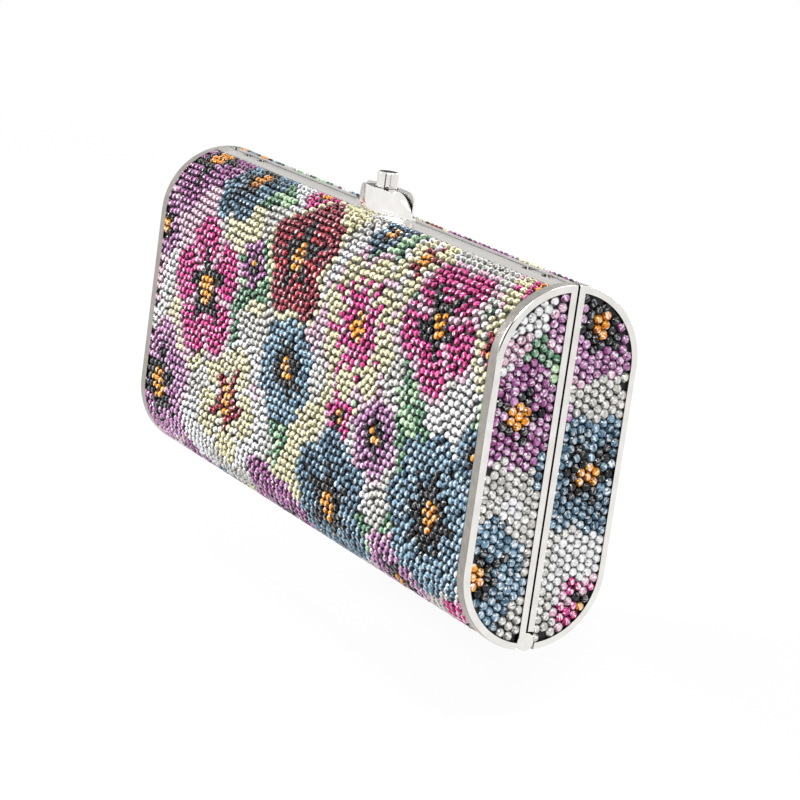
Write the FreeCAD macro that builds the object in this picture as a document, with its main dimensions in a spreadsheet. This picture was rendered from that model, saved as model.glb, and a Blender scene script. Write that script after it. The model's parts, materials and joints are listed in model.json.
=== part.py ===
"""Minaudiere: a rigid evening clutch of two crystal-covered half shells on a bottom hinge.

Millimetres. +Z is up, X runs along the clutch, the front half lies at -Y and the back half at +Y.
The halves part at y = 0, and the hinge barrel rests on z = 0.
"""
import FreeCAD, Part
import Sketcher
import math
import operator
import os

# Driving sizes
SIZES = {
    # whole body
    "length": 173.0,
    "height": 80.0,
    "depth": 35.2,
    "parting_gap": 0.5,
    "seat_fit": 0.05,
    # cast rims at the ends
    "rim_band": 3.0,
    "rim_wall": 1.6,
    "rim_seat": 0.8,
    "rim_round": 0.5,
    "flange_depth": 1.5,
    "flange_wall": 0.8,
    "bar_width": 1.5,
    "bar_depth": 1.4,
    # shells, crystal covering and lining
    "crystal_depth": 1.0,
    "crystal_sink": 0.35,
    "end_crystal_depth": 1.0,
    "shell_wall": 0.9,
    "plate_wall": 0.8,
    "lining_wall": 0.8,
    # strips along the parting line
    "rail_width": 4.3,
    "rail_sink": 0.6,
    "lip_wall": 0.8,
    "lip_stand": 0.4,
    "notch_radius": 1.9,
    "notch_from_end": 12.0,
    "notch_spacing": 8.0,
    # hinge
    "hinge_rail_width": 5.0,
    "barrel_radius": 2.0,
    "hinge_gap": 0.3,
    "pin_radius": 0.8,
    "pin_fit": 0.05,
    "pin_cover": 1.0,
    "end_knuckle": 8.0,
    "middle_knuckle": 44.0,
    "knuckle_gap": 0.3,
    # chain eyes
    "eye_reach": 5.0,
    "eye_wall": 1.0,
    "eye_round": 2.4,
    "eye_hole": 1.2,
    "eye_from_parting": 7.0,
    "eye_below_top": 16.0,
    # clasp, heights counted from the top of the rims
    "lug_length": 26.6,
    "lug_reach": 4.2,
    "lug_rise": 4.75,
    "lug_flat": 10.0,
    "foot_length": 30.0,
    "foot_stand": 0.1,
    "foot_rise": 0.2,
    "housing_length": 23.6,
    "housing_reach": 4.3,
    "housing_rise": 4.7,
    "housing_round": 1.1,
    "lug_gap": 0.3,
    # push button and its guide
    "button_offset": 0.7,
    "button_radius": 2.5,
    "button_rise": 8.5,
    "button_wall": 0.85,
    "button_roof": 1.2,
    "button_edge": 0.25,
    "button_travel": 1.0,
    "button_fit": 0.1,
    "guide_wall": 0.3,
    "guide_rise": 4.0,
    "guide_low": 1.5,
    "guide_floor": 0.5,
    "stem_radius": 0.65,
    "stem_fit": 0.15,
    "stem_play": 0.5,
    "clip_radius": 1.0,
    "clip_wall": 0.25,
    "spring_wire": 0.15,
    "spring_turns": 6.0,
    # spring tongue
    "tongue_low": 0.15,
    "tongue_wall": 0.4,
    "tongue_width": 8.2,
    "tongue_root": 3.3,
    "tongue_tip": 2.4,
    "tongue_room": 0.2,
    "barb_rise": 0.6,
    "barb_crest": 0.35,
    "barb_from_parting": 1.15,
    "catch_wall": 0.75,
    "catch_room": 0.2,
    "rivet_radius": 0.5,
    "rivet_head_radius": 0.8,
    "rivet_head": 0.25,
    "rivet_grip": 1.5,
    "rivet_apart": 6.4,
    "rivet_from_parting": 2.4,
}

FRONT = -1
BACK = 1
LEFT = -1
RIGHT = 1
SIDE_NAMES = {FRONT: "front", BACK: "back"}
END_NAMES = {LEFT: "left", RIGHT: "right"}

doc = FreeCAD.newDocument("minaudiere")
sheet = doc.addObject("Spreadsheet::Sheet", "Sizes")
for row, (name, number) in enumerate(SIZES.items(), 1):
    sheet.set("A%d" % row, name)
    sheet.set("B%d" % row, str(number))
    sheet.setAlias("B%d" % row, name)
doc.recompute()


class Size:
    """A length together with the sheet expression that gives it."""

    def __init__(self, value, text):
        self.value = value
        self.text = text

    def joined(self, sign, work, other):
        other = other if isinstance(other, Size) else Size(float(other), str(other))
        value = work(self.value, other.value)
        return Size(value, "(%s %s %s)" % (self.text, sign, other.text))

    def __add__(self, other):
        return self.joined("+", operator.add, other)

    def __sub__(self, other):
        return self.joined("-", operator.sub, other)

    def __mul__(self, other):
        return self.joined("*", operator.mul, other)

    def __truediv__(self, other):
        return self.joined("/", operator.truediv, other)

    def __neg__(self):
        return self * -1


def size(name):
    return Size(sheet.get(name), "Sizes." + name)


def root(square):
    return Size(math.sqrt(square.value), "sqrt(%s)" % square.text)


class Arc:
    """A round side of an outline: its radius, and 1 for a left turn or -1 for a right turn."""

    def __init__(self, radius, turn):
        self.radius = radius
        self.turn = turn


ZERO = Size(0.0, "0")


# Sketch outlines whose every corner is held by sheet expressions
def flat(corner):
    return FreeCAD.Vector(corner[0].value, corner[1].value, 0)


def arc_between(start, end, arc):
    """The shorter arc from start to end, as a curve and the order of its ends."""
    chord = end - start
    half = chord.Length / 2
    reach = math.sqrt(max(arc.radius.value ** 2 - half ** 2, 0.0))
    left = FreeCAD.Vector(-chord.y, chord.x, 0).normalize()
    middle = (start + end) * 0.5 + left * (reach * arc.turn)
    circle = Part.Circle(middle, FreeCAD.Vector(0, 0, 1), arc.radius.value)
    first = start - middle
    last = end - middle
    angles = [math.atan2(first.y, first.x), math.atan2(last.y, last.x)]
    if arc.turn < 0:
        angles.reverse()
    curve = Part.ArcOfCircle(circle, angles[0], angles[1])
    return curve, ((1, 2) if arc.turn > 0 else (2, 1))


def hold(rules, texts, kind, axis, index, end, amount):
    """Fix one coordinate of a point: on the axis, or at a distance from it on its own side."""
    if abs(amount.value) < 1e-9:
        rules.append(Sketcher.Constraint("PointOnObject", index, end, axis))
        return
    if amount.value > 0:
        rules.append(Sketcher.Constraint(kind, -1, 1, index, end, amount.value))
        texts[len(rules) - 1] = amount.text
    else:
        rules.append(Sketcher.Constraint(kind, index, end, -1, 1, -amount.value))
        texts[len(rules) - 1] = (-amount).text


def apply_rules(sketch, rules, texts):
    first = sketch.ConstraintCount
    sketch.addConstraint(rules)
    for number, text in texts.items():
        sketch.setExpression("Constraints[%d]" % (first + number), text)


def outline(sketch, corners):
    """Close a loop through corners (u, v), or (u, v, Arc) where a round side leaves the corner."""
    sides = []
    for corner, after in zip(corners, corners[1:] + corners[:1]):
        if len(corner) == 3:
            curve, ends = arc_between(flat(corner), flat(after), corner[2])
        else:
            curve = Part.LineSegment(flat(corner), flat(after))
            ends = (1, 2)
        sides.append((sketch.addGeometry(curve, False), ends))
    rules = []
    texts = {}
    for number, corner in enumerate(corners):
        index, ends = sides[number]
        before, before_ends = sides[number - 1]
        rules.append(Sketcher.Constraint("Coincident", before, before_ends[1], index, ends[0]))
        hold(rules, texts, "DistanceX", -2, index, ends[0], corner[0])
        hold(rules, texts, "DistanceY", -1, index, ends[0], corner[1])
        if len(corner) == 3:
            radius = corner[2].radius
            rules.append(Sketcher.Constraint("Radius", index, radius.value))
            texts[len(rules) - 1] = radius.text
    apply_rules(sketch, rules, texts)


def ring(sketch, u, v, radius):
    """A full circle at (u, v)."""
    middle = FreeCAD.Vector(u.value, v.value, 0)
    index = sketch.addGeometry(Part.Circle(middle, FreeCAD.Vector(0, 0, 1), radius.value), False)
    rules = []
    texts = {}
    hold(rules, texts, "DistanceX", -2, index, 3, u)
    hold(rules, texts, "DistanceY", -1, index, 3, v)
    rules.append(Sketcher.Constraint("Radius", index, radius.value))
    texts[len(rules) - 1] = radius.text
    apply_rules(sketch, rules, texts)


def block(u_from, u_to, v_from, v_to):
    """Corners of a rectangle."""
    return [(u_from, v_from), (u_to, v_from), (u_to, v_to), (u_from, v_to)]


# Bodies and their features
pieces = []


def new_piece(kind, name):
    piece = doc.addObject(kind, name)
    piece.Label = name
    pieces.append(piece)
    return piece


def new_body(name):
    return new_piece("PartDesign::Body", name)


def new_sketch(body, plane, start):
    """A sketch on one of the body's origin planes, moved along that plane's normal."""
    sketch = body.newObject("Sketcher::SketchObject", body.Name + "_sketch")
    support = [item for item in body.Origin.OriginFeatures if item.Role == plane]
    sketch.AttachmentSupport = [(support[0], "")]
    sketch.MapMode = "FlatFace"
    sketch.setExpression("AttachmentOffset.Base.z", start.text)
    return sketch


def add_feature(body, kind, plane, start, length, corners=None, circles=()):
    sketch = new_sketch(body, plane, start)
    if corners:
        outline(sketch, corners)
    for u, v, radius in circles:
        ring(sketch, u, v, radius)
    feature = body.newObject("PartDesign::" + kind, body.Name + "_" + kind.lower())
    feature.Profile = sketch
    feature.setExpression("Length", length.text)
    return feature


def pad(body, plane, start, length, corners=None, circles=()):
    """Grow along the plane's normal: +X for YZ, +Z for XY, -Y for XZ."""
    return add_feature(body, "Pad", plane, start, length, corners, circles)


def cut(body, plane, start, length, corners=None, circles=()):
    """Cut against the plane's normal, and make sure that the cut met the solid."""
    doc.recompute()
    before = body.Shape.Volume
    feature = add_feature(body, "Pocket", plane, start, length, corners, circles)
    doc.recompute()
    if not body.Shape.Volume < before:
        raise ValueError(body.Label + ": a cut met nothing")
    return feature


def turn(body, corners):
    """Revolve an outline of (radius, height) corners round the body's own upright axis."""
    sketch = new_sketch(body, "XZ_Plane", ZERO)
    outline(sketch, corners)
    feature = body.newObject("PartDesign::Revolution", body.Name + "_turned")
    feature.Profile = sketch
    feature.ReferenceAxis = (sketch, ["V_Axis"])
    feature.Angle = 360
    return feature


def round_edges(body, radius, chosen):
    """Round the edges of the body for which chosen(edge) holds."""
    doc.recompute()
    base = body.Tip
    names = ["Edge%d" % n for n, edge in enumerate(base.Shape.Edges, 1) if chosen(edge)]
    feature = body.newObject("PartDesign::Fillet", body.Name + "_round")
    feature.Base = (base, names)
    feature.setExpression("Radius", radius.text)
    return feature


def near(one, other):
    return abs(one - other) < 1e-4


def cylinder(name, radius, height, listed=False):
    tube = new_piece("Part::Cylinder", name) if listed else doc.addObject("Part::Cylinder", name)
    tube.setExpression("Radius", radius.text)
    tube.setExpression("Height", height.text)
    return tube


def place(thing, **axes):
    for axis, amount in axes.items():
        thing.setExpression("Placement.Base." + axis, amount.text)


# Lines and radii that several pieces share
half_length = size("length") / 2
rim_radius = size("depth") / 2
upper = size("height") - rim_radius
lower = rim_radius
top = size("height")
half_gap = size("parting_gap") / 2
rail_radius = rim_radius - size("rail_sink")
crystal_radius = rim_radius - size("crystal_sink")
shell_radius = crystal_radius - size("crystal_depth")
shell_bore = shell_radius - size("shell_wall")
lining_radius = shell_bore - size("seat_fit")
lining_bore = lining_radius - size("lining_wall")
lip_line = lining_bore - size("lip_stand")
panel_radius = rim_radius - size("rim_wall")
body_half = half_length - size("rim_band")
lip_edge = half_gap + size("lip_wall")
hinge_edge = size("barrel_radius") + size("hinge_gap")
hinge_lip_edge = hinge_edge + size("lip_wall")
hinge_axis = size("barrel_radius")
bar_edge = half_gap + size("bar_width")
knuckle_top = hinge_axis + size("barrel_radius") + size("hinge_gap")
bore_radius = size("pin_radius") + size("pin_fit")
lining_half = body_half - size("flange_depth") - size("seat_fit")


def rise(radius, across):
    """How far a round of that radius stands above its centre at a distance across."""
    return root(radius * radius - across * across)


def half_oval(side, radius, top_edge, bottom_edge):
    """One half of the pill-shaped section, from its edge at the top to its edge at the bottom."""
    bend = Arc(radius, -side)
    return [
        (top_edge * side, upper + rise(radius, top_edge), bend),
        (radius * side, upper),
        (radius * side, lower, bend),
        (bottom_edge * side, lower - rise(radius, bottom_edge)),
    ]


def backwards(corners):
    """The same open run of corners from its other end."""
    run = []
    for number in range(len(corners) - 1, -1, -1):
        corner = corners[number][:2]
        before = corners[number - 1] if number else corners[number][:2]
        if len(before) == 3:
            corner = corner + (Arc(before[2].radius, -before[2].turn),)
        run.append(corner)
    return run


def wall_section(side, outer, inner, top_edge, bottom_edge):
    """The section of a wall that follows one half of the pill shape."""
    outside = half_oval(side, outer, top_edge, bottom_edge)
    return outside + backwards(half_oval(side, inner, top_edge, bottom_edge))


def panel_section(side, radius, edge, foot_edge):
    """A D-shaped panel with its foot stepped back from the hinge barrel."""
    foot = [(foot_edge * side, knuckle_top), (edge * side, knuckle_top)]
    return half_oval(side, radius, edge, foot_edge) + foot


def span(end, inner, outer):
    """Start and length along X of a slab between two distances from the middle, at one end."""
    start = inner if end == RIGHT else -outer
    return start, outer - inner


# Half shells of sheet metal
def make_shell(side):
    body = new_body(SIDE_NAMES[side] + "_shell")
    section = wall_section(side, shell_radius, shell_bore, lip_edge, hinge_lip_edge)
    pad(body, "YZ_Plane", -body_half, body_half * 2, section)


# Crystal covering of the body, between the two strips
def make_crystals(side):
    body = new_body(SIDE_NAMES[side] + "_crystals")
    edges = (size("rail_width"), size("hinge_rail_width"))
    section = wall_section(side, crystal_radius, shell_radius, *edges)
    pad(body, "YZ_Plane", -body_half, body_half * 2, section)


# Lining: a leather trough with closed ends
def make_lining(side):
    body = new_body(SIDE_NAMES[side] + "_lining")
    section = wall_section(side, lining_radius, lining_bore, lip_edge, hinge_lip_edge)
    pad(body, "YZ_Plane", -lining_half, lining_half * 2, section)
    end_wall = panel_section(side, lining_radius, lip_edge, hinge_lip_edge)
    for end in (LEFT, RIGHT):
        inner = lining_half - size("lining_wall")
        pad(body, "YZ_Plane", *span(end, inner, lining_half), end_wall)


# Strip beside the parting line at the top, folded down into a lip
def make_top_rail(side):
    body = new_body(SIDE_NAMES[side] + "_top_rail")
    width = size("rail_width")
    section = [
        (half_gap * side, upper + rise(rail_radius, half_gap), Arc(rail_radius, -side)),
        (width * side, upper + rise(rail_radius, width)),
        (width * side, upper + rise(shell_radius, width), Arc(shell_radius, side)),
        (lip_edge * side, upper + rise(shell_radius, lip_edge)),
        (lip_edge * side, upper + lip_line),
        (half_gap * side, upper + lip_line),
    ]
    pad(body, "YZ_Plane", -body_half, body_half * 2, section)
    outer_notch = half_length - size("notch_from_end")
    notches = []
    for end in (LEFT, RIGHT):
        for along in (outer_notch, outer_notch - size("notch_spacing")):
            notches.append((along * end, ZERO, size("notch_radius")))
    cut(body, "XY_Plane", top, rim_radius - lip_line, circles=notches)


# Strip beside the hinge, with the knuckles that are rolled from it
def make_hinge_rail(side):
    body = new_body(SIDE_NAMES[side] + "_hinge_rail")
    width = size("hinge_rail_width")
    section = [
        (hinge_edge * side, lower - rise(rail_radius, hinge_edge), Arc(rail_radius, side)),
        (width * side, lower - rise(rail_radius, width)),
        (width * side, lower - rise(shell_radius, width), Arc(shell_radius, -side)),
        (hinge_lip_edge * side, lower - rise(shell_radius, hinge_lip_edge)),
        (hinge_lip_edge * side, lower - lip_line),
        (hinge_edge * side, lower - lip_line),
    ]
    pad(body, "YZ_Plane", -body_half, body_half * 2, section)
    middle = size("middle_knuckle") / 2
    if side == FRONT:
        runs = [(-middle, middle * 2)]
    else:
        inner = middle + size("knuckle_gap")
        outer = half_length - size("end_knuckle") - size("knuckle_gap")
        runs = [span(end, inner, outer) for end in (LEFT, RIGHT)]
    for start, length in runs:
        add_knuckle(body, side, start, length, hinge_edge + size("lip_wall") / 2)
        bore = (ZERO, hinge_axis, bore_radius)
        cut(body, "YZ_Plane", start + length, length, circles=[bore])


def add_knuckle(body, side, start, length, web_reach):
    """A barrel on the hinge axis and the web that joins it to its strip or rim."""
    web_low = lower - rise(rail_radius, hinge_edge)
    web = block(ZERO, web_reach * side, web_low, hinge_axis)
    pad(body, "YZ_Plane", start, length, web)
    pad(body, "YZ_Plane", start, length, circles=[(ZERO, hinge_axis, size("barrel_radius"))])


# Cast rim of one end of one half: a D-shaped ring, its parting bar and the seat of the end panel
def make_rim(side, end):
    body = new_body("%s_%s_rim" % (SIDE_NAMES[side], END_NAMES[end]))
    seat_outer = body_half + size("rim_seat")
    flange_radius = shell_bore - size("seat_fit")
    flange_bore = flange_radius - size("flange_wall")
    ring_section = wall_section(side, rim_radius, panel_radius, half_gap, hinge_edge)
    seat_section = wall_section(side, panel_radius, flange_bore, lip_edge, hinge_lip_edge)
    flange_section = wall_section(side, flange_radius, flange_bore, lip_edge, hinge_lip_edge)
    pad(body, "YZ_Plane", *span(end, body_half, half_length), ring_section)
    round_edges(body, size("rim_round"), lambda edge: on_outer_edge(edge, end))
    pad(body, "YZ_Plane", *span(end, body_half, seat_outer), seat_section)
    flange_start = body_half - size("flange_depth")
    pad(body, "YZ_Plane", *span(end, flange_start, body_half), flange_section)
    bar_foot = hinge_axis if side == FRONT else knuckle_top
    bar_head = upper + panel_radius + size("rim_wall") / 2
    bar = block(half_gap * side, bar_edge * side, bar_foot, bar_head)
    pad(body, "YZ_Plane", *span(end, half_length - size("bar_depth"), half_length), bar)
    if side == FRONT:
        knuckle = span(end, half_length - size("end_knuckle"), half_length)
        pad_end_knuckle(body, side, end, knuckle)


def on_outer_edge(edge, end):
    """True for the edges round the outside of a rim's end face."""
    box = edge.BoundBox
    in_face = near(box.XMin, half_length.value * end) and near(box.XMax, box.XMin)
    return in_face and on_pill(edge.valueAt(edge.FirstParameter), edge)


def on_pill(point, edge):
    """True where an edge follows the outside of the pill shape."""
    halfway = edge.valueAt((edge.FirstParameter + edge.LastParameter) / 2)
    for spot in (point, halfway):
        centre = min(max(spot.z, lower.value), upper.value)
        if not near(math.hypot(spot.y, spot.z - centre), rim_radius.value):
            return False
    return True


def pad_end_knuckle(body, side, end, knuckle):
    """The end knuckle that the front rim carries, with a blind bore for the pin."""
    start, length = knuckle
    pad(body, "YZ_Plane", start, length, circles=[(ZERO, hinge_axis, size("barrel_radius"))])
    web_low = lower - rise(rail_radius, hinge_edge)
    web_high = lower - rise(panel_radius, hinge_edge)
    web = block(ZERO, (hinge_edge + size("rim_wall") / 2) * side, web_low, web_high)
    pad(body, "YZ_Plane", *span(end, body_half, half_length), web)
    blind = half_length - size("pin_cover")
    bore_start, bore_length = span(end, half_length - size("end_knuckle"), blind)
    bore = (ZERO, hinge_axis, bore_radius)
    cut(body, "YZ_Plane", bore_start + bore_length, bore_length, circles=[bore])


# Plate inside a rim, and the crystal field that it carries
def make_end_panel(side, end):
    prefix = "%s_%s_" % (SIDE_NAMES[side], END_NAMES[end])
    inner = body_half + size("rim_seat")
    face = inner + size("plate_wall")
    plate = new_body(prefix + "end_plate")
    radius = panel_radius - size("seat_fit")
    section = panel_section(side, radius, half_gap, hinge_edge)
    pad(plate, "YZ_Plane", *span(end, inner, face), section)
    field = new_body(prefix + "end_crystals")
    outer = face + size("end_crystal_depth")
    section = panel_section(side, radius, bar_edge + size("seat_fit"), hinge_edge)
    pad(field, "YZ_Plane", *span(end, face, outer), section)


# Hinge pin
def make_hinge_pin():
    pin_half = half_length - size("pin_cover") - size("knuckle_gap")
    pin = cylinder("hinge_pin", size("pin_radius"), pin_half * 2, listed=True)
    pin.Placement.Rotation = FreeCAD.Rotation(FreeCAD.Vector(0, 1, 0), 90)
    place(pin, x=-pin_half, z=hinge_axis)


# Chain eye: a flat tab with a hole, standing out from the lined end wall of the back half
def make_chain_eye(end):
    body = new_body(END_NAMES[end] + "_chain_eye")
    wall = lining_half - size("lining_wall")
    bend = size("eye_round")
    middle = top - size("eye_below_top")
    tip = wall - size("eye_reach")
    corners = [
        (wall * end, middle - bend),
        (wall * end, middle + bend),
        ((tip + bend) * end, middle + bend, Arc(bend, end)),
        (tip * end, middle, Arc(bend, end)),
        ((tip + bend) * end, middle - bend),
    ]
    start = -(size("eye_from_parting") + size("eye_wall"))
    hole = ((tip + bend) * end, middle, size("eye_hole"))
    pad(body, "XZ_Plane", start, size("eye_wall"), corners, [hole])


# Heights in the clasp
tongue_bottom = top + size("tongue_low")
tongue_top = tongue_bottom + size("tongue_wall")
barb_top = tongue_top + size("barb_rise")
catch_bottom = tongue_top + size("catch_room")
guide_bottom = top + size("guide_low")
guide_floor_top = guide_bottom + size("guide_floor")
guide_top = top + size("guide_rise")
button_top = top + size("button_rise")
button_roof_low = button_top - size("button_roof")
button_foot = guide_floor_top + size("button_travel") + size("button_fit")
guide_bore = size("button_radius") + size("button_fit")
guide_radius = guide_bore + size("guide_wall")
stem_bore = size("stem_radius") + size("stem_fit")
clasp_low = top - size("rail_width")
button_y = -size("button_offset")
clip_top = guide_bottom - size("seat_fit")


def bow_radius(half, reach):
    """Radius of a clasp piece's bowed side, from its half length and its reach."""
    bow = reach - half_gap
    return (half * half + bow * bow) / (bow * 2)


def lens(half, reach, side):
    """The plan of one half of the clasp: straight on the parting line and bowed outside."""
    bowed = Arc(bow_radius(half, reach), 1)
    return [(half * side, half_gap * side, bowed), (half * -side, half_gap * side)]


def hollow(radius, back_to):
    """A U-shaped well round the button's axis, open towards the back."""
    quarter = Arc(radius, 1)
    return [
        (-radius, button_y, quarter),
        (ZERO, button_y - radius, quarter),
        (radius, button_y),
        (radius, back_to),
        (-radius, back_to),
    ]


def sit_on_rail(body, half):
    """Shape the underside of a clasp piece to the round top of the strips."""
    cut(body, "YZ_Plane", half, half * 2, circles=[(ZERO, upper, rail_radius)])


# Front lug: bowed in plan and arched towards its ends, on a foot that is soldered to the strip
def make_front_lug():
    body = new_body("front_lug")
    half = size("lug_length") / 2
    foot_half = size("foot_length") / 2
    level = size("lug_flat") / 2
    reach = size("lug_reach")
    crest = top + size("lug_rise")
    fall = size("lug_rise")
    ramp = half - level
    bend = Arc((ramp * ramp + fall * fall) / (fall * 2), -1)
    arch = [
        (-half, clasp_low),
        (-half, top, bend),
        (-level, crest),
        (level, crest, bend),
        (half, top),
        (half, clasp_low),
    ]
    pad(body, "XZ_Plane", half_gap, reach - half_gap, arch)
    outside = [
        (-half, -half_gap, Arc(bow_radius(half, reach), 1)),
        (half, -half_gap),
        (half, -reach - size("lug_gap")),
        (-half, -reach - size("lug_gap")),
    ]
    cut(body, "XY_Plane", crest, crest - clasp_low, outside)
    foot_top = top + size("foot_rise")
    foot_plan = lens(foot_half, reach + size("foot_stand"), FRONT)
    pad(body, "XY_Plane", clasp_low, foot_top - clasp_low, foot_plan)
    sit_on_rail(body, foot_half)
    well_floor = guide_bottom - size("lug_gap")
    cut(body, "XY_Plane", crest, crest - well_floor, hollow(guide_radius + size("lug_gap"), ZERO))
    stem_well = hollow(size("clip_radius") + size("lug_gap"), ZERO)
    cut(body, "XY_Plane", well_floor, well_floor - clasp_low, stem_well)
    slot_half = size("tongue_width") / 2 + size("tongue_room")
    slot = block(-size("tongue_root") - size("seat_fit"), ZERO, clasp_low, tongue_top)
    cut(body, "YZ_Plane", slot_half, slot_half * 2, slot)
    rivet_top = tongue_top + size("rivet_grip")
    holes = [(across, -size("rivet_from_parting"), size("rivet_radius")) for across in rivet_places()]
    cut(body, "XY_Plane", rivet_top, size("rivet_grip"), circles=holes)


def rivet_places():
    half = size("rivet_apart") / 2
    return (-half, half)


# Clasp housing on the back half: bowed in plan, with the slot that catches the tongue
def make_housing():
    body = new_body("clasp_housing")
    half = size("housing_length") / 2
    crest = top + size("housing_rise")
    pad(body, "XY_Plane", clasp_low, crest - clasp_low, lens(half, size("housing_reach"), BACK))
    round_edges(body, size("housing_round"), lambda edge: on_crest(edge, crest))
    sit_on_rail(body, half)
    well = (ZERO, button_y, guide_radius + size("seat_fit"))
    cut(body, "XY_Plane", crest, crest - guide_bottom, circles=[well])
    clip_well = (ZERO, button_y, size("clip_radius") + size("lug_gap"))
    cut(body, "XY_Plane", guide_bottom, guide_bottom - clasp_low, circles=[clip_well])
    behind = size("barb_from_parting") - size("tongue_room")
    slot_end = size("tongue_tip") + size("tongue_room")
    slot_top = barb_top + size("catch_room")
    slot = [
        (ZERO, clasp_low),
        (slot_end, clasp_low),
        (slot_end, slot_top),
        (behind, slot_top),
        (behind, catch_bottom),
        (ZERO, catch_bottom),
    ]
    slot_half = size("tongue_width") / 2 + size("tongue_room")
    cut(body, "YZ_Plane", slot_half, slot_half * 2, slot)


def on_crest(edge, crest):
    """True for the bowed edge round the top of the housing."""
    box = edge.BoundBox
    return near(box.ZMin, crest.value) and near(box.ZMax, crest.value) and box.YLength > 1


# Guide tube of the button, with a floor that the stem passes through
def make_button_guide():
    body = new_body("button_guide")
    turn(body, [
        (stem_bore, guide_bottom),
        (guide_radius, guide_bottom),
        (guide_radius, guide_top),
        (guide_bore, guide_top),
        (guide_bore, guide_floor_top),
        (stem_bore, guide_floor_top),
    ])
    place(body, y=button_y)


# Push button: a hollow cap with a bevelled crown
def make_push_button():
    body = new_body("push_button")
    radius = size("button_radius")
    edge = size("button_edge")
    cavity = radius - size("button_wall")
    turn(body, [
        (ZERO, button_roof_low),
        (cavity, button_roof_low),
        (cavity, button_foot),
        (radius, button_foot),
        (radius, button_top - edge),
        (radius - edge, button_top),
        (ZERO, button_top),
    ])
    place(body, y=button_y)


# Stem under the button, and the clip that keeps it from leaving the guide
def make_button_stem():
    stem_bottom = tongue_top + size("stem_play")
    stem = cylinder("button_stem", size("stem_radius"), button_roof_low - stem_bottom, listed=True)
    place(stem, y=button_y, z=stem_bottom)
    clip = new_body("stem_clip")
    low = clip_top - size("clip_wall")
    turn(clip, [
        (size("stem_radius"), low),
        (size("clip_radius"), low),
        (size("clip_radius"), clip_top),
        (size("stem_radius"), clip_top),
    ])
    place(clip, y=button_y)


# Return spring: one helical wire of quarter-turn arcs between the guide's floor and the button's roof
WIRE_SIDES = 6


def make_return_spring():
    wire = sheet.get("spring_wire")
    turns = sheet.get("spring_turns")
    cavity = sheet.get("button_radius") - sheet.get("button_wall")
    middle = (cavity + sheet.get("stem_radius")) / 2
    bottom = guide_floor_top.value + wire
    pitch = (button_roof_low.value - wire - bottom) / turns

    def spot(quarters):
        angle = quarters * math.pi / 2
        height = bottom + pitch * quarters / 4
        return FreeCAD.Vector(middle * math.cos(angle), middle * math.sin(angle), height)

    count = int(turns * 4)
    edges = [Part.Arc(spot(n), spot(n + 0.5), spot(n + 1)).toShape() for n in range(count)]
    path = Part.Wire(edges)
    tangent = edges[0].tangentAt(edges[0].FirstParameter)
    outward = FreeCAD.Vector(1, 0, 0)
    upward = tangent.cross(outward)
    corners = []
    for number in range(WIRE_SIDES + 1):
        angle = 2 * math.pi * number / WIRE_SIDES
        corners.append(spot(0) + outward * (wire * math.cos(angle)) + upward * (wire * math.sin(angle)))
    section = Part.makePolygon(corners)
    spring = new_piece("Part::Feature", "return_spring")
    spring.Shape = path.makePipeShell([section], True, False)
    spring.Placement.Base.y = button_y.value
    print("spring: gap between turns %.2f mm" % (pitch - 2 * wire))


# Spring tongue: a leaf with a barb, and the two rivets that hold its root in the lug
def make_tongue():
    body = new_body("spring_tongue")
    barb = size("barb_from_parting")
    leaf = [
        (-size("tongue_root"), tongue_bottom),
        (size("tongue_tip"), tongue_bottom),
        (size("tongue_tip"), tongue_top),
        (barb + size("barb_crest"), barb_top),
        (barb, barb_top),
        (barb, tongue_top),
        (-size("tongue_root"), tongue_top),
    ]
    half = size("tongue_width") / 2
    pad(body, "YZ_Plane", -half, half * 2, leaf)
    holes = [(across, -size("rivet_from_parting"), size("rivet_radius")) for across in rivet_places()]
    cut(body, "XY_Plane", tongue_top, size("tongue_wall"), circles=holes)


def make_rivets():
    rivets = []
    for number, across in enumerate(rivet_places()):
        shank = cylinder("rivet_shank_%d" % number, size("rivet_radius"),
                         size("rivet_grip") + size("tongue_wall"))
        place(shank, x=across, y=-size("rivet_from_parting"), z=tongue_bottom)
        head = cylinder("rivet_head_%d" % number, size("rivet_head_radius"), size("rivet_head"))
        place(head, x=across, y=-size("rivet_from_parting"), z=tongue_bottom - size("rivet_head"))
        rivet = doc.addObject("Part::Fuse", "rivet_%d" % number)
        rivet.Base = shank
        rivet.Tool = head
        rivets.append(rivet)
    group = new_piece("Part::Compound", "tongue_rivets")
    group.Links = rivets


# The whole assembly
for side in (FRONT, BACK):
    make_shell(side)
    make_crystals(side)
    make_lining(side)
    make_top_rail(side)
    make_hinge_rail(side)
    for end in (LEFT, RIGHT):
        make_rim(side, end)
        make_end_panel(side, end)
make_hinge_pin()
for end in (LEFT, RIGHT):
    make_chain_eye(end)
make_front_lug()
make_tongue()
make_rivets()
make_housing()
make_button_guide()
make_push_button()
make_button_stem()
make_return_spring()
doc.recompute()

# Every object has to be sound before anything is written
for item in doc.Objects:
    if "Invalid" in item.State or "Error" in item.State:
        raise ValueError(item.Label + " failed: " + str(item.State))
for piece in pieces:
    if piece.Shape.isNull() or not piece.Shape.isValid():
        raise ValueError(piece.Label + " has no sound shape")

os.makedirs("parts", exist_ok=True)
for piece in pieces:
    piece.Shape.exportStep("parts/%s.step" % piece.Label)
    print("%-28s %9.2f mm3, %d solid" % (piece.Label, piece.Shape.Volume, len(piece.Shape.Solids)))
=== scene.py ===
# %% [markdown]
# A minaudiere is a rigid evening clutch, made like a piece of jewellery.
# This one is a pill-shaped metal case in two halves, set all over with small cut crystals.
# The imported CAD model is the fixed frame: it says where each piece lies and how it moves.
# Every cell below adds one finish or one kind of piece to that frame, in metres.

# %% Load the frame
import json
import math
import random

import bpy
import numpy as np
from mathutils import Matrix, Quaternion, Vector
from mathutils.kdtree import KDTree


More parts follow.
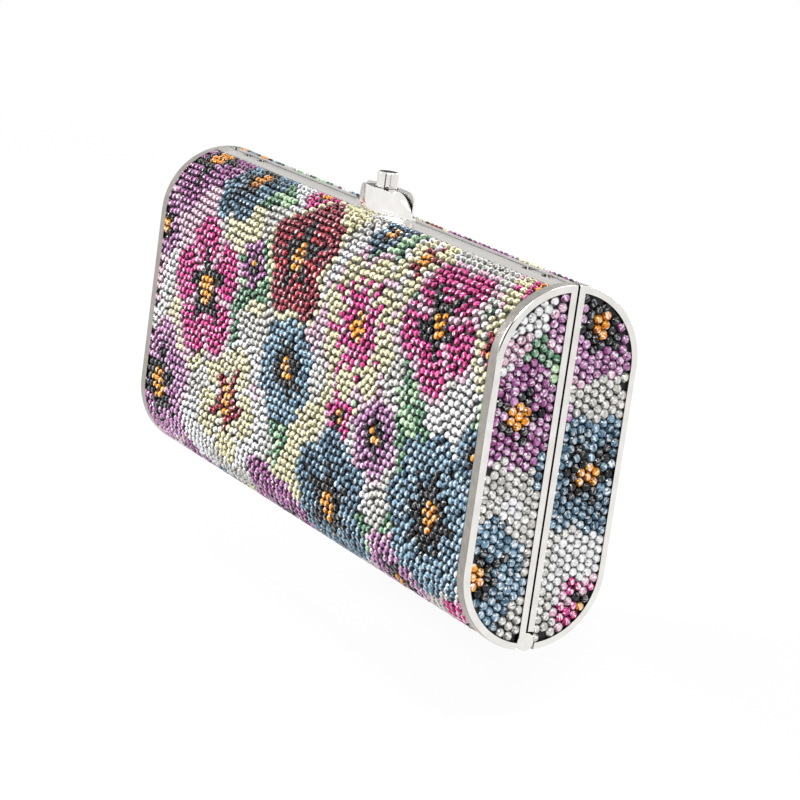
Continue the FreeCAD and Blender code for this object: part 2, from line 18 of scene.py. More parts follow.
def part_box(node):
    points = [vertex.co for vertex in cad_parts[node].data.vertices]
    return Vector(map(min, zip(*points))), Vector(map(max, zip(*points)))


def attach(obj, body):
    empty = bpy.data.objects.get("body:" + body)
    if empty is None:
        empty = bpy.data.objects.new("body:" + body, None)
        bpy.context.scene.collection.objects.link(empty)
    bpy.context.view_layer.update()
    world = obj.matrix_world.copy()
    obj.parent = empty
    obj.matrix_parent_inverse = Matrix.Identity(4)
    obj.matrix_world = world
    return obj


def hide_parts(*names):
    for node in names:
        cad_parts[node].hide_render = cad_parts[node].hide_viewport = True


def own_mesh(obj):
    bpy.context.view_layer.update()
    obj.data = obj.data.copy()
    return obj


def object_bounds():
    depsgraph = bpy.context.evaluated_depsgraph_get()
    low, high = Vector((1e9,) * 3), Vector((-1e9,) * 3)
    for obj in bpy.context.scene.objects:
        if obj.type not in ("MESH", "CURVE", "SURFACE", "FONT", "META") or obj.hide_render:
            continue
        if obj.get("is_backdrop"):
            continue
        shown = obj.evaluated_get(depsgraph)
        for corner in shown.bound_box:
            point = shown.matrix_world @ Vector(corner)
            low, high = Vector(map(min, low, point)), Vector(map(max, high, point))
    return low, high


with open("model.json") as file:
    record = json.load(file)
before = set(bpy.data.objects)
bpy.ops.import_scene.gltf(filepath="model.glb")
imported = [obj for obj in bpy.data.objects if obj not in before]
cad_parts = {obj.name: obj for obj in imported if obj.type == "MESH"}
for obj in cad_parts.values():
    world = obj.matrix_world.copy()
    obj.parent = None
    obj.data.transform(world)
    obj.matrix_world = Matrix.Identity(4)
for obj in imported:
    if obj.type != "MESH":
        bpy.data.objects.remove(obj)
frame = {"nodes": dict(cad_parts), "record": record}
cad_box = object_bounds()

MM = 0.001
# each half with the sign of its Y, and each end with the sign of its X
HALVES = (("front", -1), ("back", 1))
ENDS = (("left", -1), ("right", 1))
scene = bpy.context.scene
nodes = frame["nodes"]
body_of_node = {}
for body_name, members in frame["record"]["behaviour"]["bodies"].items():
    for member in members:
        body_of_node[member] = body_name

# %% [markdown]
# The section of the case is a pill: two half circles joined by straight sides.
# Its measures are read from the frame, so that a change of the CAD model carries through.
# The rims give the outer radius and the heights of the two centres, upper and lower.
# The crystal coverings give the radius of the stones, and where the stones end.

# %% Measures of the case
rim_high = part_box("back_right_rim")[1]
half_length = rim_high.x
rim_radius = rim_high.y
upper = rim_high.z - rim_radius
lower = rim_radius
field_low, field_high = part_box("back_crystals")
field_half = field_high.x
stone_top_radius = field_high.y
shell_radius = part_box("back_shell")[1].y


def edge_at(height, centre):
    """How far from the parting plane a covering ends, from the height of its edge."""
    return math.sqrt(stone_top_radius ** 2 - (height - centre) ** 2)


top_edge = edge_at(field_high.z, upper)
bottom_edge = edge_at(field_low.z, lower)
print("pill radius %.2f mm; stones end %.2f mm off the parting plane on top and %.2f mm below"
      % (rim_radius / MM, top_edge / MM, bottom_edge / MM))

# %% [markdown]
# The camera stands where the photographer's stood: to the right of the front, a little above.
# The picture was taken with the camera leaning, so the case leans in the frame too.
# A long lens keeps the near and the far end almost parallel.

# %% Camera
CAMERA_AIM = Vector((5.57, 7.65, 35.15)) * MM
CAMERA_DISTANCE = 675.5 * MM
CAMERA_AZIMUTH = math.radians(60.07)
CAMERA_ELEVATION = math.radians(11.715)
CAMERA_LEAN = math.radians(8.035)
LENS_MM = 128.39
SENSOR_MM = 36
NEAREST_SEEN = 10 * MM

looking = Vector((
    -math.sin(CAMERA_AZIMUTH) * math.cos(CAMERA_ELEVATION),
    math.cos(CAMERA_AZIMUTH) * math.cos(CAMERA_ELEVATION),
    -math.sin(CAMERA_ELEVATION),
))
bpy.ops.object.camera_add(location=CAMERA_AIM - looking * CAMERA_DISTANCE)
camera = bpy.context.active_object
camera.rotation_mode = "QUATERNION"
lean = Quaternion((0, 0, 1), CAMERA_LEAN)
camera.rotation_quaternion = looking.to_track_quat("-Z", "Y") @ lean
camera.data.lens = LENS_MM
camera.data.sensor_width = SENSOR_MM
camera.data.clip_start = NEAREST_SEEN
scene.camera = camera
print("camera at", [round(value, 4) for value in camera.location])

# %% [markdown]
# The studio is plain: a white room, a white floor and soft lamps.
# The room is white to the camera and in the metal, and lights the case more gently than that.
# Light Path says which kind of ray is asking, so one mix of two backgrounds does both.

# %% Room
scene.view_settings.view_transform = "Standard"
ROOM_LIGHT = 0.22
ROOM_WHITE = 1.0


def fresh_nodes(tree):
    tree.nodes.clear()
    return tree.nodes, tree.links


def seen_ray(tools, links):
    """1 for a ray that shows a surface to the camera, straight or by way of metal or glass."""
    path = tools.new("ShaderNodeLightPath")
    seen = path.outputs["Is Camera Ray"]
    for kind in ("Is Glossy Ray", "Is Transmission Ray"):
        larger = tools.new("ShaderNodeMath")
        larger.operation = "MAXIMUM"
        links.new(seen, larger.inputs[0])
        links.new(path.outputs[kind], larger.inputs[1])
        seen = larger.outputs[0]
    return seen


def make_room():
    world = bpy.data.worlds.new("studio_room")
    scene.world = world
    world.use_nodes = True
    tools, links = fresh_nodes(world.node_tree)
    mix = tools.new("ShaderNodeMixShader")
    links.new(seen_ray(tools, links), mix.inputs[0])
    for socket, strength in ((1, ROOM_LIGHT), (2, ROOM_WHITE)):
        back = tools.new("ShaderNodeBackground")
        back.inputs["Color"].default_value = (1, 1, 1, 1)
        back.inputs["Strength"].default_value = strength
        links.new(back.outputs[0], mix.inputs[socket])
    out = tools.new("ShaderNodeOutputWorld")
    links.new(mix.outputs[0], out.inputs["Surface"])


make_room()
print("room:", scene.world.name)

# %% [markdown]
# The floor is matt white and takes the shadow of the case.
# It lies a little lower than the case, which leaves the front half room to swing open.
# To the camera and in the metal it is mixed with plain white: mostly near the case, where
# a faint shadow stays, and wholly further off, where it has to meet the white of the room.

# %% Floor
FLOOR_SIZE = 12.0
FLOOR_DROP = 28 * MM
FLOOR_WHITE = 0.82
WHITE_SHARE = (0.80, 1.0)
WHITE_REACH = (0.25, 1.0)


def make_floor():
    bpy.ops.object.select_all(action="DESELECT")
    bpy.ops.mesh.primitive_plane_add(size=FLOOR_SIZE, location=(0, 0, -FLOOR_DROP))
    floor = bpy.context.active_object
    floor.name = "studio_floor"
    paint = bpy.data.materials.new("floor_white")
    paint.use_nodes = True
    tools, links = fresh_nodes(paint.node_tree)
    matt = tools.new("ShaderNodeBsdfDiffuse")
    matt.inputs["Color"].default_value = (FLOOR_WHITE, FLOOR_WHITE, FLOOR_WHITE, 1)
    glow = tools.new("ShaderNodeEmission")
    where = tools.new("ShaderNodeTexCoord")
    away = tools.new("ShaderNodeVectorMath")
    away.operation = "LENGTH"
    links.new(where.outputs["Object"], away.inputs[0])
    spread = tools.new("ShaderNodeMapRange")
    sockets = ("From Min", "From Max", "To Min", "To Max")
    for socket, value in zip(sockets, WHITE_REACH + WHITE_SHARE):
        spread.inputs[socket].default_value = value
    links.new(away.outputs["Value"], spread.inputs["Value"])
    share = tools.new("ShaderNodeMath")
    share.operation = "MULTIPLY"
    links.new(seen_ray(tools, links), share.inputs[0])
    links.new(spread.outputs[0], share.inputs[1])
    mix = tools.new("ShaderNodeMixShader")
    links.new(share.outputs[0], mix.inputs[0])
    links.new(matt.outputs[0], mix.inputs[1])
    links.new(glow.outputs[0], mix.inputs[2])
    out = tools.new("ShaderNodeOutputMaterial")
    links.new(mix.outputs[0], out.inputs["Surface"])
    floor.data.materials.append(paint)
    floor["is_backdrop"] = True
    return floor


print("floor:", make_floor().name)

# %% [markdown]
# Polished metal in an all-white room looks flat, because it has nothing dark to reflect.
# So a photographer holds black cards near it, out of the picture.
# These cards are seen in reflections alone: they throw no shadow and take no light away.

# %% Dark cards
FELT_BLACK = 0.02
CARDS = (
    {"name": "floor_card", "place": (0.375, -0.50, 0.002), "size": (0.16, 0.60), "turn": 37},
    {"name": "camera_flag", "place": (1.05, -0.62, 0.50), "size": (1.30, 0.90)},
    {"name": "far_card", "place": (-1.27, 0.73, 0.27), "size": (0.70, 0.14)},
)
aim_point = Vector((0, 0, rim_radius * 2))


def add_card(name, place, size, turn=None):
    """A card of black felt that faces the case; one with a turn in degrees lies level."""
    bpy.ops.object.select_all(action="DESELECT")
    bpy.ops.mesh.primitive_plane_add(size=1, location=place)
    card = bpy.context.active_object
    card.name = name
    card.scale = (*size, 1)
    card.rotation_mode = "QUATERNION"
    if turn is None:
        card.rotation_quaternion = (aim_point - Vector(place)).to_track_quat("Z", "Y")
    else:
        card.rotation_quaternion = Quaternion((0, 0, 1), math.radians(turn))
    felt = bpy.data.materials.new(name + "_felt")
    felt.use_nodes = True
    shader = felt.node_tree.nodes["Principled BSDF"]
    shader.inputs["Base Color"].default_value = (FELT_BLACK, FELT_BLACK, FELT_BLACK, 1)
    card.data.materials.append(felt)
    card.visible_camera = False
    card.visible_diffuse = False
    card.visible_shadow = False
    card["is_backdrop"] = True


for card in CARDS:
    add_card(**card)
print("cards:", [card["name"] for card in CARDS])

# %% [markdown]
# Square soft lamps light the case at a plain level.
# The key lamp at the front left gives the stones and the clasp their white lights.
# The end lamp lights the right end, and two more fill in from above and from behind.

# %% Lamps
LAMPS = (
    {"name": "key_lamp", "place": (-0.64, -1.03, 0.52), "size": 0.40, "watts": 17.0},
    {"name": "end_lamp", "place": (0.92, -0.42, 0.82), "size": 0.36, "watts": 11.0},
    {"name": "top_lamp", "place": (0.0, 0.35, 1.20), "size": 0.6, "watts": 4.0},
    {"name": "back_lamp", "place": (-0.40, 1.10, 0.75), "size": 0.5, "watts": 11.0},
)


def add_softbox(name, place, size, watts):
    """A square lamp that faces the case."""
    bpy.ops.object.light_add(type="AREA", location=place)
    lamp = bpy.context.active_object
    lamp.name = name
    lamp.data.size = size
    lamp.data.energy = watts
    lamp.visible_camera = False
    lamp.rotation_mode = "QUATERNION"
    lamp.rotation_quaternion = (aim_point - Vector(place)).to_track_quat("-Z", "Y")


for lamp in LAMPS:
    add_softbox(**lamp)
print("lamps:", [lamp["name"] for lamp in LAMPS])

# %% [markdown]
# The rims, strips and clasp are metal with a pale plating.
# Its finish differs from piece to piece: polished, satin, brushed or bright nickel.
# Real plating is never quite even: fine polishing marks and a little haze change its gloss.
# Noise drives the colour and the roughness by a few hundredths, which is enough to see.

# %% Metals
EVEN = (1, 1, 1)
ALONG = (0.05, 1, 1)
NOISE_DETAIL = 4.0
NOISE_SPAN = (0.3, 0.7)
GLOSS_FINER = 3
MARKS_FINER = 8
MARK_DEPTH = 0.02 * MM


def new_finish(name):
    """A new material, and its Principled shader."""
    finish = bpy.data.materials.new(name)
    finish.use_nodes = True
    return finish, finish.node_tree.nodes["Principled BSDF"]


def grey(value):
    return (value, value, value)


def noise_between(finish, scale, stretch, low, high):
    """Noise on Object coordinates, spread between two colours by a ramp."""
    tools = finish.node_tree.nodes
    links = finish.node_tree.links
    where = tools.new("ShaderNodeTexCoord")
    shape = tools.new("ShaderNodeMapping")
    shape.inputs["Scale"].default_value = stretch
    noise = tools.new("ShaderNodeTexNoise")
    noise.inputs["Scale"].default_value = scale
    noise.inputs["Detail"].default_value = NOISE_DETAIL
    ramp = tools.new("ShaderNodeValToRGB")
    for stop, position, colour in zip(ramp.color_ramp.elements, NOISE_SPAN, (low, high)):
        stop.position = position
        stop.color = (*colour, 1)
    links.new(where.outputs["Object"], shape.inputs["Vector"])
    links.new(shape.outputs[0], noise.inputs["Vector"])
    links.new(noise.outputs["Fac"], ramp.inputs["Fac"])
    return ramp.outputs["Color"]


def vary(finish, shader, socket, scale, stretch, low, high):
    """Let noise between two colours drive one socket of a finish."""
    tint = noise_between(finish, scale, stretch, low, high)
    finish.node_tree.links.new(tint, shader.inputs[socket])


def raise_surface(finish, shader, height, strength, depth):
    """Let a pattern of heights bump the surface of a finish."""
    bump = finish.node_tree.nodes.new("ShaderNodeBump")
    bump.inputs["Strength"].default_value = strength
    bump.inputs["Distance"].default_value = depth
    finish.node_tree.links.new(height, bump.inputs["Height"])
    finish.node_tree.links.new(bump.outputs[0], shader.inputs["Normal"])
    return bump


def metal_finish(name, low, high, smooth, hazy, scale, stretch, marks):
    """Metal whose colour, gloss and surface vary a little with noise."""
    finish, shader = new_finish(name)
    shader.inputs["Metallic"].default_value = 1.0
    vary(finish, shader, "Base Color", scale, stretch, low, high)
    vary(finish, shader, "Roughness", scale * GLOSS_FINER, stretch, grey(smooth), grey(hazy))
    lines = noise_between(finish, scale * MARKS_FINER, stretch, grey(0), grey(1))
    raise_surface(finish, shader, lines, marks, MARK_DEPTH)
    return finish


polish = metal_finish(
    "polished_plating", (0.82, 0.80, 0.77), (0.89, 0.87, 0.84),
    smooth=0.07, hazy=0.15, scale=300, stretch=EVEN, marks=0.05)
satin = metal_finish(
    "satin_plating", (0.31, 0.288, 0.262), (0.40, 0.375, 0.345),
    smooth=0.18, hazy=0.28, scale=500, stretch=EVEN, marks=0.05)
brushed = metal_finish(
    "brushed_plating", (0.50, 0.48, 0.455), (0.60, 0.58, 0.55),
    smooth=0.20, hazy=0.32, scale=900, stretch=ALONG, marks=0.15)
nickel = metal_finish(
    "nickel_plating", (0.76, 0.74, 0.71), (0.85, 0.83, 0.80),
    smooth=0.05, hazy=0.11, scale=300, stretch=EVEN, marks=0.03)
steel = metal_finish(
    "spring_steel", (0.50, 0.50, 0.52), (0.60, 0.60, 0.62),
    smooth=0.22, hazy=0.32, scale=700, stretch=EVEN, marks=0.10)
print("metals:", [finish.name for finish in (polish, satin, brushed, nickel, steel)])

# %% [markdown]
# A CAD edge is a perfect corner, and no polished casting has one.
# Each metal piece that shows is a copy of its CAD node, so it lies exactly where the node does.
# The copy's loose triangles are merged, its flat faces joined, and its sharp edges bevelled.
# Weighted normals then keep the large faces level, so that only the bevels catch the light.

# %% Bevelled metal pieces
SHARP = math.radians(35)
FLAT = math.radians(0.5)
SAME_POINT = 0.001 * MM
BEVEL_STEPS = 3
LEVEL_WEIGHT = 80
RIM_BEVEL = 0.40 * MM
STRIP_BEVEL = 0.12 * MM
CLASP_BEVEL = 0.14 * MM
EYE_BEVEL = 0.15 * MM
FACES_OUT = 0.55
CLASP_FINISHES = (
    ("front_lug", polish),
    ("clasp_housing", brushed),
    ("push_button", nickel),
    ("button_guide", nickel),
)


def work_on(piece):
    """Select one object alone and make it the active one."""
    bpy.ops.object.select_all(action="DESELECT")
    piece.select_set(True)
    bpy.context.view_layer.objects.active = piece


def copy_of(node, name):
    """A mesh copy of a CAD node with its triangles merged into whole faces."""
    piece = bpy.data.objects.new(name, nodes[node].data.copy())
    scene.collection.objects.link(piece)
    piece.data.materials.clear()
    work_on(piece)
    bpy.ops.mesh.customdata_custom_splitnormals_clear()
    bpy.ops.object.mode_set(mode="EDIT")
    bpy.ops.mesh.select_all(action="SELECT")
    bpy.ops.mesh.remove_doubles(threshold=SAME_POINT)
    bpy.ops.mesh.dissolve_limited(angle_limit=FLAT)
    bpy.ops.object.mode_set(mode="OBJECT")
    return piece


def stand_for(piece, node):
    """Let a piece take a CAD node's place and move as the node does."""
    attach(piece, body_of_node[node])
    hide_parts(node)


def bevelled(node, width, finishes, choose=None):
    """A bevelled copy of a metal node; choose gives the finish of a face from its normal."""
    piece = copy_of(node, node + "_metal")
    for finish in finishes:
        piece.data.materials.append(finish)
    bevel = piece.modifiers.new("soft_edges", "BEVEL")
    bevel.width = width
    bevel.segments = BEVEL_STEPS
    bevel.limit_method = "ANGLE"
    bevel.angle_limit = SHARP
    bpy.ops.object.modifier_apply(modifier=bevel.name)
    if choose:
        for face in piece.data.polygons:
            face.material_index = choose(face.normal)
    bpy.ops.object.shade_smooth_by_angle(angle=SHARP)
    level = piece.modifiers.new("level_faces", "WEIGHTED_NORMAL")
    level.keep_sharp = True
    level.weight = LEVEL_WEIGHT
    bpy.ops.object.modifier_apply(modifier=level.name)
    stand_for(piece, node)
    return piece


def rim_finish(normal):
    """The end face of a rim gets the bright nickel, and its side band the much darker satin plating."""
    return 0 if abs(normal.x) > FACES_OUT else 1


made = []
for half, side in HALVES:
    for end, way in ENDS:
        made.append(bevelled("%s_%s_rim" % (half, end), RIM_BEVEL, (nickel, satin), rim_finish))
    made.append(bevelled(half + "_top_rail", STRIP_BEVEL, (brushed,)))
    made.append(bevelled(half + "_hinge_rail", STRIP_BEVEL, (brushed,)))
for node, finish in CLASP_FINISHES:
    made.append(bevelled(node, CLASP_BEVEL, (finish,)))
for end, way in ENDS:
    made.append(bevelled(end + "_chain_eye", EYE_BEVEL, (polish,)))
print("bevelled:", len(made), "pieces,", sum(len(piece.data.polygons) for piece in made), "faces")

# %% [markdown]
# The shells and plates under the stones and the small works inside keep their CAD shapes.
# They only get their finish, in the material slots of the CAD nodes themselves.

# %% Hidden metal
PLATED_PARTS = ("shell", "left_end_plate", "right_end_plate")
STEEL_NODES = ("hinge_pin", "tongue_rivets", "button_stem", "stem_clip")


def refinish(node, finish):
    nodes[node].data.materials.clear()
    nodes[node].data.materials.append(finish)


for half, side in HALVES:
    for part in PLATED_PARTS:
        refinish("%s_%s" % (half, part), brushed)
for node in STEEL_NODES:
    refinish(node, steel)
print("plating on", 2 * len(PLATED_PARTS), "inner pieces, steel on", len(STEEL_NODES))

# %% [markdown]
# Each stone is a small round crystal with a flat table, two rows of cut facets and a foil back.
# Light comes back from every facet at another strength, which is what makes a crystal sparkle.
# So a stone is modelled once as a ring that is extruded, shrunk and turned.
# When it is set, its facets get painted shade, the stone's own colour or painted light:
# a facet that faces up and to the left is painted lighter, and one that faces down darker.
# A few facets of each stone get a painted glint, the palest of all.

# %% Stone cuts
STONE_SIDES = 8
# the rise, the shrink and the turn of each row of facets, the turn as a share of one side
RINGS = ((0.42, 0.95, 0.5), (0.38, 0.60, -0.5))
STONE_HEIGHT = 0.80
FULL_TURN = 2 * math.pi


def model_stone():
    """One stone of radius 1 that faces up the Z axis."""
    bpy.ops.object.select_all(action="DESELECT")
    bpy.ops.mesh.primitive_circle_add(vertices=STONE_SIDES, radius=1, fill_type="NGON")
    stone = bpy.context.active_object
    bpy.ops.object.mode_set(mode="EDIT")
    bpy.ops.mesh.select_all(action="SELECT")
    for lift, shrink, turn in RINGS:
        bpy.ops.mesh.extrude_region_move(TRANSFORM_OT_translate={"value": (0, 0, lift)})
        bpy.ops.transform.resize(value=(shrink, shrink, 1))
        step = turn * FULL_TURN / STONE_SIDES
        bpy.ops.transform.rotate(value=step, orient_axis="Z", center_override=(0, 0, 0))
    bpy.ops.mesh.select_all(action="SELECT")
    bpy.ops.mesh.quads_convert_to_tris(quad_method="SHORTEST_DIAGONAL")
    bpy.ops.mesh.normals_make_consistent(inside=False)
    bpy.ops.object.mode_set(mode="OBJECT")
    return stone


def corners_of(face):
    """The corners of a face, from the lowest number on."""
    corners = list(face.vertices)
    first = corners.index(min(corners))
    return tuple(corners[first:] + corners[:first])


stone = model_stone()
# the triangles come in another order on each run, so they are sorted
facets = sorted(stone.data.polygons, key=corners_of)
stone_points = np.array([vertex.co for vertex in stone.data.vertices])
stone_faces = [corners_of(face) for face in facets]
stone_normals = np.array([face.normal for face in facets])
facet_heights = np.array([face.center.z for face in facets])
bpy.data.objects.remove(stone)
print("stone:", len(stone_points), "points,", len(stone_faces), "faces")

# %% [markdown]
# The stones come in the colours that such glass is made in, each with a foil behind it.
# Foil-backed glass is part mirror and part clear: a metallic share gives the coloured shine,
# and its smooth face gives the white lights on top. Every colour has four copies:
# painted shade, its own colour, painted light and a painted glint.
# No two stones of a batch are quite alike, so noise varies each copy and its gloss a little.

# %% Stone colours
STONE_COLOURS = {
    "silver": (0.46, 0.45, 0.42),
    "clear": (0.64, 0.64, 0.65),
    "cream": (0.62, 0.575, 0.34),
    "blush": (0.58, 0.35, 0.45),
    "fuchsia": (0.49, 0.017, 0.155),
    "amethyst": (0.23, 0.050, 0.185),
    "lilac": (0.37, 0.15, 0.33),
    "denim": (0.046, 0.102, 0.16),
    "sky": (0.14, 0.25, 0.35),
    "garnet": (0.20, 0.006, 0.016),
    "ruby": (0.48, 0.012, 0.022),
    "green": (0.06, 0.17, 0.085),
    "mint": (0.36, 0.56, 0.32),
    "jet": (0.004, 0.004, 0.005),
    "amber": (0.68, 0.21, 0.007),
}
# the four copies of each colour: painted shade, its own colour, painted light and a painted glint
SHADING_NAMES = ("painted_shade", "middle", "light", "painted_glint")
PAINTED_SHADE, MIDDLE, PAINTED_LIGHT, PAINTED_GLINT = range(4)
# painted shade keeps this share of the colour, and more of a pale one, up to a most
SHADE_SHARE = 0.15
PALE_SHADE_SHARE = 0.55
MOST_SHADE_SHARE = 0.34
PAINTED_LIGHT_POWER = 0.60
# a painted glint goes a share of the way to this white, and less far on a dark stone
GLINT_WHITE = 0.92
GLINT_SHARE = 0.78
DARK_GLINT = 0.40
GLINT_RISE = 1.8
STONE_METAL = 0.22
STONE_IOR = 1.43
STONE_VARIES = (0.86, 1.13)
PALEST = 0.95
VARIES_SCALE = 420
STONE_GLOSS = (0.045, 0.085)
GLOSS_SCALE = 900


def painted_shading(colour, shading):
    """A stone's colour as painted shade, as its own colour, as painted light or as a painted glint."""
    if shading == PAINTED_SHADE:
        share = min(SHADE_SHARE + PALE_SHADE_SHARE * min(colour), MOST_SHADE_SHARE)
        return tuple(part * share for part in colour)
    if shading == PAINTED_LIGHT:
        return tuple(part ** PAINTED_LIGHT_POWER for part in colour)
    if shading == PAINTED_GLINT:
        share = GLINT_SHARE * min(DARK_GLINT + GLINT_RISE * max(colour), 1)
        return tuple(part + (GLINT_WHITE - part) * share for part in colour)
    return colour


def stone_finish(name, colour):
    finish, shader = new_finish(name)
    low, high = (tuple(min(part * share, PALEST) for part in colour) for share in STONE_VARIES)
    vary(finish, shader, "Base Color", VARIES_SCALE, EVEN, low, high)
    smooth, hazy = (grey(value) for value in STONE_GLOSS)
    vary(finish, shader, "Roughness", GLOSS_SCALE, EVEN, smooth, hazy)
    shader.inputs["Metallic"].default_value = STONE_METAL
    shader.inputs["IOR"].default_value = STONE_IOR
    return finish


stone_finishes = []
colour_number = {}
for number, (name, colour) in enumerate(STONE_COLOURS.items()):
    colour_number[name] = number
    for shading, shading_name in enumerate(SHADING_NAMES):
        stone_finishes.append(stone_finish("%s_%s" % (name, shading_name), painted_shading(colour, shading)))
print("stone finishes:", len(stone_finishes))

# %% [markdown]
# The mosaic is a garden of simple round blossoms and almond leaves on a pale ground.
# It is worked out like a chart for embroidery: a rule gives the colour at any spot,
# and each stone asks the rule for the colour at its own spot.
# The rule of a blossom goes out from its heart: amber, dark rays, petals and their borders.

# %% Blossoms and leaves
BLOSSOMS = (
    {"often": 3, "petal": "fuchsia", "tip": "blush", "seam": "blush", "throat": "jet", "petals": 5},
    {"often": 3, "petal": "denim", "tip": "sky", "seam": "sky", "throat": "jet", "petals": 6},
    {"often": 2, "petal": "cream", "tip": "clear", "seam": "clear", "throat": "garnet", "petals": 5},
    {"often": 3, "petal": "amethyst", "tip": "lilac", "seam": "lilac", "throat": "jet", "petals": 5},
    {"often": 2, "petal": "lilac", "tip": "blush", "seam": "amethyst", "throat": "jet", "petals": 6},
    {"often": 1, "petal": "garnet", "tip": "cream", "seam": "ruby", "throat": "jet", "petals": 5},
    {"often": 2, "petal": "sky", "tip": "denim", "seam": "denim", "throat": "jet", "petals": 8},
    {"often": 1, "petal": "cream", "tip": "blush", "seam": "fuchsia", "throat": "fuchsia", "petals": 8},
)
# how far out the petals lie and how large they are, by their number; the blossom's radius is 1
PETAL_FORMS = {5: (0.55, 0.46), 6: (0.59, 0.41), 8: (0.66, 0.33)}
HEART = 0.19
PETALS_PART = 0.45
RAY_SLOPE = 0.36
RAY_END = 0.63
TIP_FROM = 0.82
SEAM_HALF = 0.045
# the leaf's length is 1
LEAF_HALF = 0.22
LEAF_TAPER = 0.8
MIDRIB_HALF = 0.06


class Blossom:
    """A flower of round petals with pale borders, dark rays in its throat and an amber heart."""

    def __init__(self, draw, u, v, radius, kind):
        self.u = u
        self.v = v
        self.radius = radius
        self.kind = kind
        self.turn = draw.uniform(0, FULL_TURN)
        self.step = FULL_TURN / self.kind["petals"]
        self.petal_at, self.petal_size = PETAL_FORMS[self.kind["petals"]]

    def colour(self, u, v):
        out = math.hypot(u - self.u, v - self.v) / self.radius
        if out > 1:
            return None
        if out < HEART:
            return "amber"
        angle = math.atan2(v - self.v, u - self.u) - self.turn
        off = angle - self.step * round(angle / self.step)
        across = out * math.sin(off)
        reach = math.hypot(out * math.cos(off) - self.petal_at, across) / self.petal_size
        if reach > 1 and out > PETALS_PART:
            return None
        if abs(across) < RAY_SLOPE * (RAY_END - out):
            return self.kind["throat"]
        if reach > TIP_FROM:
            return self.kind["tip"]
        seam = out * math.sin(self.step / 2 - abs(off))
        return self.kind["seam"] if seam < SEAM_HALF else self.kind["petal"]


class Leaf:
    """An almond leaf with a pale midrib, growing out from under a blossom."""

    def __init__(self, draw, u, v, length):
        self.u = u
        self.v = v
        self.length = length
        turn = draw.uniform(0, FULL_TURN)
        self.way = (math.cos(turn), math.sin(turn))

    def colour(self, u, v):
        along = ((u - self.u) * self.way[0] + (v - self.v) * self.way[1]) / self.length
        across = ((v - self.v) * self.way[0] - (u - self.u) * self.way[1]) / self.length
        if not 0 < along < 1:
            return None
        if abs(across) > LEAF_HALF * math.sin(math.pi * along ** LEAF_TAPER):
            return None
        return "mint" if abs(across) < MIDRIB_HALF else "green"


sample = Blossom(random.Random(1), 0, 0, 10 * MM, BLOSSOMS[0])
print("from heart to border:", [sample.colour(step * MM, 0) for step in range(10)])

# %% [markdown]
# Large blossoms are strewn first and smaller ones after them, each where there is still room,
# and a blossom never has the colours of its nearest neighbours. A leaf grows from each.
# The ground between them is silver, clear, cream or blush, in drifts made of a few slow waves.

# %% Garden
BLOSSOM_SIZES = (0.92, 1.08)
CLOSE = 0.84
LEAF_REACH = 1.8
NEIGHBOURS = 3
DRIFTS = 6
DRIFT_WAVES = (60, 160)
CREAM_UNDER = -1.7
SILVER_UNDER = 0.6
CLEAR_UNDER = 2.7


class Garden:
    """Blossoms and leaves strewn over a rectangle, with drifts of pale colour between them."""

    def __init__(self, seed, low, high, sizes):
        draw = random.Random(seed)
        self.blossoms = []
        self.leaves = []
        for radius, tries in sizes:
            for attempt in range(tries):
                u = draw.uniform(low[0], high[0])
                v = draw.uniform(low[1], high[1])
                size = radius * draw.uniform(*BLOSSOM_SIZES)
                if self.has_room(u, v, size):
                    kind = self.fresh_kind(draw, u, v)
                    self.blossoms.append(Blossom(draw, u, v, size, kind))
                    self.leaves.append(Leaf(draw, u, v, LEAF_REACH * size))
        self.drifts = []
        for drift in range(DRIFTS):
            slant = draw.choice((-1, 1))
            wave_u = draw.uniform(*DRIFT_WAVES)
            wave_v = slant * draw.uniform(*DRIFT_WAVES)
            self.drifts.append((wave_u, wave_v, draw.uniform(0, FULL_TURN)))

    def has_room(self, u, v, size):
        """Whether a blossom fits between those already strewn."""
        for other in self.blossoms:
            if math.hypot(u - other.u, v - other.v) <= CLOSE * (size + other.radius):
                return False
        return True

    def fresh_kind(self, draw, u, v):
        """A kind of blossom that the nearest blossoms don't have."""
        near = sorted(self.blossoms, key=lambda other: math.hypot(u - other.u, v - other.v))
        taken = [other.kind for other in near[:NEIGHBOURS]]
        free = [kind for kind in BLOSSOMS if kind not in taken]
        return draw.choices(free, [kind["often"] for kind in free])[0]

    def ground(self, u, v):
        total = sum(math.sin(a * u + b * v + c) for a, b, c in self.drifts)
        if total < CREAM_UNDER:
            return "cream"
        if total < SILVER_UNDER:
            return "silver"
        return "clear" if total < CLEAR_UNDER else "blush"

    def colour(self, u, v):
        for plant in self.blossoms + self.leaves:
            found = plant.colour(u, v)
            if found:
                return found
        return self.ground(u, v)


sample = Garden(1, (0, 0), (40 * MM, 40 * MM), ((8 * MM, 40),))
print("a sample of the garden, 40 mm square:", len(sample.blossoms), "blossoms")

# %% [markdown]
# The stones are set by hand, close together but never quite even.
# Each field starts as staggered columns, and every stone in it is shifted at random.
# Then crowded stones push each other apart for a few steps, held inside their field,
# which gives the slightly loose order of handwork.

# %% Places of the stones
SHIFT_SHARE = 0.20
CROWD = 0.98
# where a column's first stone lies and how far the next column is shifted, in pitches
COLUMN_START = 0.27
COLUMN_STAGGER = 0.46
SETTLE_STEPS = 11
PUSH_SHARE = 0.35


def stone_columns(low, high, length, pitch, apart, draw):
    """Spots (across, along) in staggered columns that fill a rectangle, a little out of place."""
    columns = round((high - low) / (apart * CROWD))
    rows = round(length / (pitch * CROWD))
    shift = SHIFT_SHARE * pitch
    for column in range(columns):
        for row in range(rows):
            across = low + (column + 0.5) * (high - low) / columns
            along = (row + COLUMN_START + COLUMN_STAGGER * (column % 2)) * length / rows
            yield across + draw.gauss(0, 1) * shift, along + draw.gauss(0, 1) * shift


